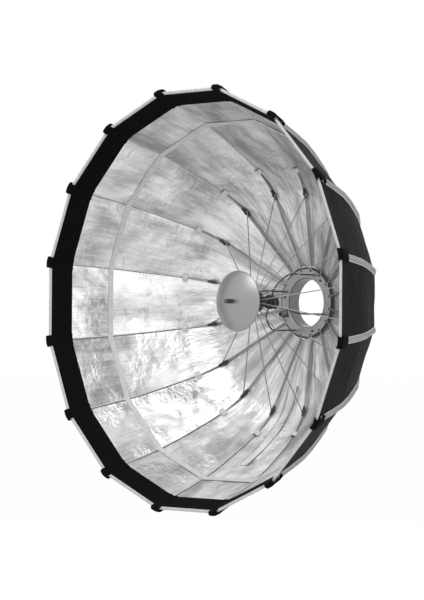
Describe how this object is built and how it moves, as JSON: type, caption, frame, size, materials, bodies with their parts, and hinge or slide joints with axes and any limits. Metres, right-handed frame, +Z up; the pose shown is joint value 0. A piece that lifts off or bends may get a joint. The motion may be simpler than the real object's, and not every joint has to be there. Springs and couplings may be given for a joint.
{
  "type": "parabolic softbox",
  "caption": "Quick-release parabolic softbox: sprung rods on a speedring carry a deep faceted fabric bowl, with a strut hub, latch bracket and domed deflector.",
  "frame": {"origin": "centre of the rear mount face, on the axis of the speedring's bore", "axes": "+Y runs out of the rear mount face towards the lamp, the bowl opens towards -Y, and +Z is up with one flat side of the rim on top"},
  "size_m": [1.178, 0.5218, 1.178],
  "materials": {
    "ring_aluminium": "satin",
    "ring_dark": "satin",
    "insert_aluminium": "satin",
    "rod_steel": "satin",
    "bracket_steel": "satin",
    "black_plastic": "matte",
    "deflector_aluminium": "satin",
    "knob_metal": "satin",
    "lining_silver": "satin",
    "cover_black": "matte",
    "band_black": "matte",
    "webbing_grey": "matte",
    "binding_grey": "matte"
  },
  "bodies": {
    "mount": {"mount_insert": "insert_aluminium"},
    "ring": {"speedring_flange": "ring_aluminium", "speedring_body": "ring_dark", "latch_bracket": "bracket_steel", "latch_socket": "black_plastic"},
    "lock_plunger": {"ring_lock_knob": "ring_aluminium"},
    "button_a": {"release_button_a": "black_plastic"},
    "button_b": {"release_button_b": "black_plastic"},
    "hub": {"strut_hub": "black_plastic", "hub_stem": "rod_steel", "deflector": "deflector_aluminium"},
    "knob": {"deflector_knob": "knob_metal"},
    "rib_01": {"rod_01": "rod_steel", "gore_01": "lining_silver"},
    "strut_01": {"strut_01": "rod_steel"},
    "rib_02": {"rod_02": "rod_steel", "gore_02": "lining_silver"},
    "strut_02": {"strut_02": "rod_steel"},
    "rib_03": {"rod_03": "rod_steel", "gore_03": "lining_silver"},
    "strut_03": {"strut_03": "rod_steel"},
    "rib_04": {"rod_04": "rod_steel", "gore_04": "lining_silver"},
    "strut_04": {"strut_04": "rod_steel"},
    "rib_05": {"rod_05": "rod_steel", "gore_05": "lining_silver"},
    "strut_05": {"strut_05": "rod_steel"},
    "rib_06": {"rod_06": "rod_steel", "gore_06": "lining_silver"},
    "strut_06": {"strut_06": "rod_steel"},
    "rib_07": {"rod_07": "rod_steel", "gore_07": "lining_silver"},
    "strut_07": {"strut_07": "rod_steel"},
    "rib_08": {"rod_08": "rod_steel", "gore_08": "lining_silver"},
    "strut_08": {"strut_08": "rod_steel"},
    "rib_09": {"rod_09": "rod_steel", "gore_09": "lining_silver"},
    "strut_09": {"strut_09": "rod_steel"},
    "rib_10": {"rod_10": "rod_steel", "gore_10": "lining_silver"},
    "strut_10": {"strut_10": "rod_steel"},
    "rib_11": {"rod_11": "rod_steel", "gore_11": "lining_silver"},
    "strut_11": {"strut_11": "rod_steel"},
    "rib_12": {"rod_12": "rod_steel", "gore_12": "lining_silver"},
    "strut_12": {"strut_12": "rod_steel"},
    "rib_13": {"rod_13": "rod_steel", "gore_13": "lining_silver"},
    "strut_13": {"strut_13": "rod_steel"},
    "rib_14": {"rod_14": "rod_steel", "gore_14": "lining_silver"},
    "strut_14": {"strut_14": "rod_steel"},
    "rib_15": {"rod_15": "rod_steel", "gore_15": "lining_silver"},
    "strut_15": {"strut_15": "rod_steel"},
    "rib_16": {"rod_16": "rod_steel", "gore_16": "lining_silver"},
    "strut_16": {"strut_16": "rod_steel"}
  },
  "joints": [
    {"name": "ring_turn", "type": "hinge", "parent": "mount", "child": "ring", "pos_m": [0, -0.024, 0], "axis": [0, -1, 0], "continuous": true},
    {"name": "hub_slide", "type": "slide", "parent": "ring", "child": "hub", "axis": [0, -1, 0], "range_m": [0, 0.2888]},
    {"name": "knob_spin", "type": "hinge", "parent": "hub", "child": "knob", "pos_m": [0, -0.359, 0], "axis": [0, -1, 0], "continuous": true},
    {"name": "lock_pull", "type": "slide", "parent": "ring", "child": "lock_plunger", "axis": [0, -1, 0], "range_m": [0, 0.006], "stiffness_N_per_m": 500},
    {"name": "button_a_press", "type": "slide", "parent": "ring", "child": "button_a", "axis": [0.3827, 0, -0.9239], "range_m": [0, 0.002], "stiffness_N_per_m": 900},
    {"name": "button_b_press", "type": "slide", "parent": "ring", "child": "button_b", "axis": [-0.3827, 0, 0.9239], "range_m": [0, 0.002], "stiffness_N_per_m": 900},
    {"name": "rib_01_fold", "type": "hinge", "parent": "ring", "child": "rib_01", "pos_m": [0.01873, -0.038, 0.09416], "axis": [0.9808, 0, -0.1951], "range_deg": [0, 51], "deforming": ["gore_01"]},
    {"name": "strut_01_fold", "type": "hinge", "parent": "hub", "child": "strut_01", "pos_m": [0.00478, -0.2535, 0.02403], "axis": [0.9808, 0, -0.1951], "range_deg": [-38, 0]},
    {"name": "rib_02_fold", "type": "hinge", "parent": "ring", "child": "rib_02", "pos_m": [-0.01873, -0.038, 0.09416], "axis": [0.9808, 0, 0.1951], "range_deg": [0, 51], "deforming": ["gore_02"]},
    {"name": "strut_02_fold", "type": "hinge", "parent": "hub", "child": "strut_02", "pos_m": [-0.00478, -0.2535, 0.02403], "axis": [0.9808, 0, 0.1951], "range_deg": [-38, 0]},
    {"name": "rib_03_fold", "type": "hinge", "parent": "ring", "child": "rib_03", "pos_m": [-0.05334, -0.038, 0.07982], "axis": [0.8315, 0, 0.5556], "range_deg": [0, 51], "deforming": ["gore_03"]},
    {"name": "strut_03_fold", "type": "hinge", "parent": "hub", "child": "strut_03", "pos_m": [-0.01361, -0.2535, 0.02037], "axis": [0.8315, 0, 0.5556], "range_deg": [-38, 0]},
    {"name": "rib_04_fold", "type": "hinge", "parent": "ring", "child": "rib_04", "pos_m": [-0.07982, -0.038, 0.05334], "axis": [0.5556, 0, 0.8315], "range_deg": [0, 51], "deforming": ["gore_04"]},
    {"name": "strut_04_fold", "type": "hinge", "parent": "hub", "child": "strut_04", "pos_m": [-0.02037, -0.2535, 0.01361], "axis": [0.5556, 0, 0.8315], "range_deg": [-38, 0]},
    {"name": "rib_05_fold", "type": "hinge", "parent": "ring", "child": "rib_05", "pos_m": [-0.09416, -0.038, 0.01873], "axis": [0.1951, 0, 0.9808], "range_deg": [0, 51], "deforming": ["gore_05"]},
    {"name": "strut_05_fold", "type": "hinge", "parent": "hub", "child": "strut_05", "pos_m": [-0.02403, -0.2535, 0.00478], "axis": [0.1951, 0, 0.9808], "range_deg": [-38, 0]},
    {"name": "rib_06_fold", "type": "hinge", "parent": "ring", "child": "rib_06", "pos_m": [-0.09416, -0.038, -0.01873], "axis": [-0.1951, 0, 0.9808], "range_deg": [0, 51], "deforming": ["gore_06"]},
    {"name": "strut_06_fold", "type": "hinge", "parent": "hub", "child": "strut_06", "pos_m": [-0.02403, -0.2535, -0.00478], "axis": [-0.1951, 0, 0.9808], "range_deg": [-38, 0]},
    {"name": "rib_07_fold", "type": "hinge", "parent": "ring", "child": "rib_07", "pos_m": [-0.07982, -0.038, -0.05334], "axis": [-0.5556, 0, 0.8315], "range_deg": [0, 51], "deforming": ["gore_07"]},
    {"name": "strut_07_fold", "type": "hinge", "parent": "hub", "child": "strut_07", "pos_m": [-0.02037, -0.2535, -0.01361], "axis": [-0.5556, 0, 0.8315], "range_deg": [-38, 0]},
    {"name": "rib_08_fold", "type": "hinge", "parent": "ring", "child": "rib_08", "pos_m": [-0.05334, -0.038, -0.07982], "axis": [-0.8315, 0, 0.5556], "range_deg": [0, 51], "deforming": ["gore_08"]},
    {"name": "strut_08_fold", "type": "hinge", "parent": "hub", "child": "strut_08", "pos_m": [-0.01361, -0.2535, -0.02037], "axis": [-0.8315, 0, 0.5556], "range_deg": [-38, 0]},
    {"name": "rib_09_fold", "type": "hinge", "parent": "ring", "child": "rib_09", "pos_m": [-0.01873, -0.038, -0.09416], "axis": [-0.9808, 0, 0.1951], "range_deg": [0, 51], "deforming": ["gore_09"]},
    {"name": "strut_09_fold", "type": "hinge", "parent": "hub", "child": "strut_09", "pos_m": [-0.00478, -0.2535, -0.02403], "axis": [-0.9808, 0, 0.1951], "range_deg": [-38, 0]},
    {"name": "rib_10_fold", "type": "hinge", "parent": "ring", "child": "rib_10", "pos_m": [0.01873, -0.038, -0.09416], "axis": [-0.9808, 0, -0.1951], "range_deg": [0, 51], "deforming": ["gore_10"]},
    {"name": "strut_10_fold", "type": "hinge", "parent": "hub", "child": "strut_10", "pos_m": [0.00478, -0.2535, -0.02403], "axis": [-0.9808, 0, -0.1951], "range_deg": [-38, 0]},
    {"name": "rib_11_fold", "type": "hinge", "parent": "ring", "child": "rib_11", "pos_m": [0.05334, -0.038, -0.07982], "axis": [-0.8315, 0, -0.5556], "range_deg": [0, 51], "deforming": ["gore_11"]},
    {"name": "strut_11_fold", "type": "hinge", "parent": "hub", "child": "strut_11", "pos_m": [0.01361, -0.2535, -0.02037], "axis": [-0.8315, 0, -0.5556], "range_deg": [-38, 0]},
    {"name": "rib_12_fold", "type": "hinge", "parent": "ring", "child": "rib_12", "pos_m": [0.07982, -0.038, -0.05334], "axis": [-0.5556, 0, -0.8315], "range_deg": [0, 51], "deforming": ["gore_12"]},
    {"name": "strut_12_fold", "type": "hinge", "parent": "hub", "child": "strut_12", "pos_m": [0.02037, -0.2535, -0.01361], "axis": [-0.5556, 0, -0.8315], "range_deg": [-38, 0]},
    {"name": "rib_13_fold", "type": "hinge", "parent": "ring", "child": "rib_13", "pos_m": [0.09416, -0.038, -0.01873], "axis": [-0.1951, 0, -0.9808], "range_deg": [0, 51], "deforming": ["gore_13"]},
    {"name": "strut_13_fold", "type": "hinge", "parent": "hub", "child": "strut_13", "pos_m": [0.02403, -0.2535, -0.00478], "axis": [-0.1951, 0, -0.9808], "range_deg": [-38, 0]},
    {"name": "rib_14_fold", "type": "hinge", "parent": "ring", "child": "rib_14", "pos_m": [0.09416, -0.038, 0.01873], "axis": [0.1951, 0, -0.9808], "range_deg": [0, 51], "deforming": ["gore_14"]},
    {"name": "strut_14_fold", "type": "hinge", "parent": "hub", "child": "strut_14", "pos_m": [0.02403, -0.2535, 0.00478], "axis": [0.1951, 0, -0.9808], "range_deg": [-38, 0]},
    {"name": "rib_15_fold", "type": "hinge", "parent": "ring", "child": "rib_15", "pos_m": [0.07982, -0.038, 0.05334], "axis": [0.5556, 0, -0.8315], "range_deg": [0, 51], "deforming": ["gore_15"]},
    {"name": "strut_15_fold", "type": "hinge", "parent": "hub", "child": "strut_15", "pos_m": [0.02037, -0.2535, 0.01361], "axis": [0.5556, 0, -0.8315], "range_deg": [-38, 0]},
    {"name": "rib_16_fold", "type": "hinge", "parent": "ring", "child": "rib_16", "pos_m": [0.05334, -0.038, 0.07982], "axis": [0.8315, 0, -0.5556], "range_deg": [0, 51], "deforming": ["gore_16"]},
    {"name": "strut_16_fold", "type": "hinge", "parent": "hub", "child": "strut_16", "pos_m": [0.01361, -0.2535, 0.02037], "axis": [0.8315, 0, -0.5556], "range_deg": [-38, 0]}
  ],
  "couplings": [
    {"joint": "rib_01_fold", "follows": "hub_slide", "rad_per_m": 3.0217},
    {"joint": "strut_01_fold", "follows": "hub_slide", "rad_per_m": -2.1931},
    {"joint": "rib_02_fold", "follows": "hub_slide", "rad_per_m": 3.0217},
    {"joint": "strut_02_fold", "follows": "hub_slide", "rad_per_m": -2.1931},
    {"joint": "rib_03_fold", "follows": "hub_slide", "rad_per_m": 3.0217},
    {"joint": "strut_03_fold", "follows": "hub_slide", "rad_per_m": -2.1931},
    {"joint": "rib_04_fold", "follows": "hub_slide", "rad_per_m": 3.0217},
    {"joint": "strut_04_fold", "follows": "hub_slide", "rad_per_m": -2.1931},
    {"joint": "rib_05_fold", "follows": "hub_slide", "rad_per_m": 3.0217},
    {"joint": "strut_05_fold", "follows": "hub_slide", "rad_per_m": -2.1931},
    {"joint": "rib_06_fold", "follows": "hub_slide", "rad_per_m": 3.0217},
    {"joint": "strut_06_fold", "follows": "hub_slide", "rad_per_m": -2.1931},
    {"joint": "rib_07_fold", "follows": "hub_slide", "rad_per_m": 3.0217},
    {"joint": "strut_07_fold", "follows": "hub_slide", "rad_per_m": -2.1931},
    {"joint": "rib_08_fold", "follows": "hub_slide", "rad_per_m": 3.0217},
    {"joint": "strut_08_fold", "follows": "hub_slide", "rad_per_m": -2.1931},
    {"joint": "rib_09_fold", "follows": "hub_slide", "rad_per_m": 3.0217},
    {"joint": "strut_09_fold", "follows": "hub_slide", "rad_per_m": -2.1931},
    {"joint": "rib_10_fold", "follows": "hub_slide", "rad_per_m": 3.0217},
    {"joint": "strut_10_fold", "follows": "hub_slide", "rad_per_m": -2.1931},
    {"joint": "rib_11_fold", "follows": "hub_slide", "rad_per_m": 3.0217},
    {"joint": "strut_11_fold", "follows": "hub_slide", "rad_per_m": -2.1931},
    {"joint": "rib_12_fold", "follows": "hub_slide", "rad_per_m": 3.0217},
    {"joint": "strut_12_fold", "follows": "hub_slide", "rad_per_m": -2.1931},
    {"joint": "rib_13_fold", "follows": "hub_slide", "rad_per_m": 3.0217},
    {"joint": "strut_13_fold", "follows": "hub_slide", "rad_per_m": -2.1931},
    {"joint": "rib_14_fold", "follows": "hub_slide", "rad_per_m": 3.0217},
    {"joint": "strut_14_fold", "follows": "hub_slide", "rad_per_m": -2.1931},
    {"joint": "rib_15_fold", "follows": "hub_slide", "rad_per_m": 3.0217},
    {"joint": "strut_15_fold", "follows": "hub_slide", "rad_per_m": -2.1931},
    {"joint": "rib_16_fold", "follows": "hub_slide", "rad_per_m": 3.0217},
    {"joint": "strut_16_fold", "follows": "hub_slide", "rad_per_m": -2.1931}
  ]
}
